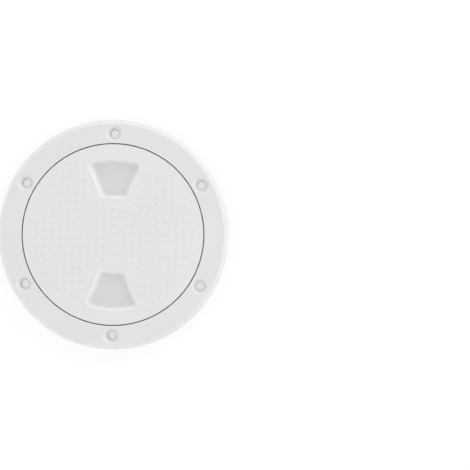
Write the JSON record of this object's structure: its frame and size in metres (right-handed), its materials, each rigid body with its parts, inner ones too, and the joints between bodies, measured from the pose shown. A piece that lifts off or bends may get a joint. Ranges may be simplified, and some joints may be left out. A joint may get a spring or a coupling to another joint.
{
  "type": "deck inspection plate",
  "caption": "Round white screw-out deck plate: flat flange with countersunk screw holes, and a non-skid cover with finger wells that screws into it on a coarse thread.",
  "frame": {"origin": "on the deck surface, at the centre of the round cut-out, which is also the centre of the screw circle", "axes": "+Z out of the deck along the thread's axis; +Y through a screw hole and, within a degree, through a finger well; +X to the right when seen from above with +Y up"},
  "size_m": [0.146, 0.146, 0.0193],
  "materials": {
    "ring_plastic": "smooth moulded white",
    "cover_plastic": "satin moulded white, non-skid",
    "seal_rubber": "matt"
  },
  "bodies": {
    "ring": {"mounting_ring": "ring_plastic"},
    "seal": {"flat_seal": "seal_rubber"},
    "cover": {"screw_cover": "cover_plastic"}
  },
  "joints": [
    {"name": "cover_lift", "type": "slide", "parent": "ring", "child": "seal", "axis": [0, 0, 1], "range_m": [0, 0.018]},
    {"name": "cover_turn", "type": "hinge", "parent": "seal", "child": "cover", "pos_m": [0, 0, 0], "axis": [0, 0, 1], "range_deg": [0, 1296]}
  ],
  "couplings": [
    {"joint": "cover_lift", "follows": "cover_turn", "m_per_rad": 0.00079577}
  ]
}
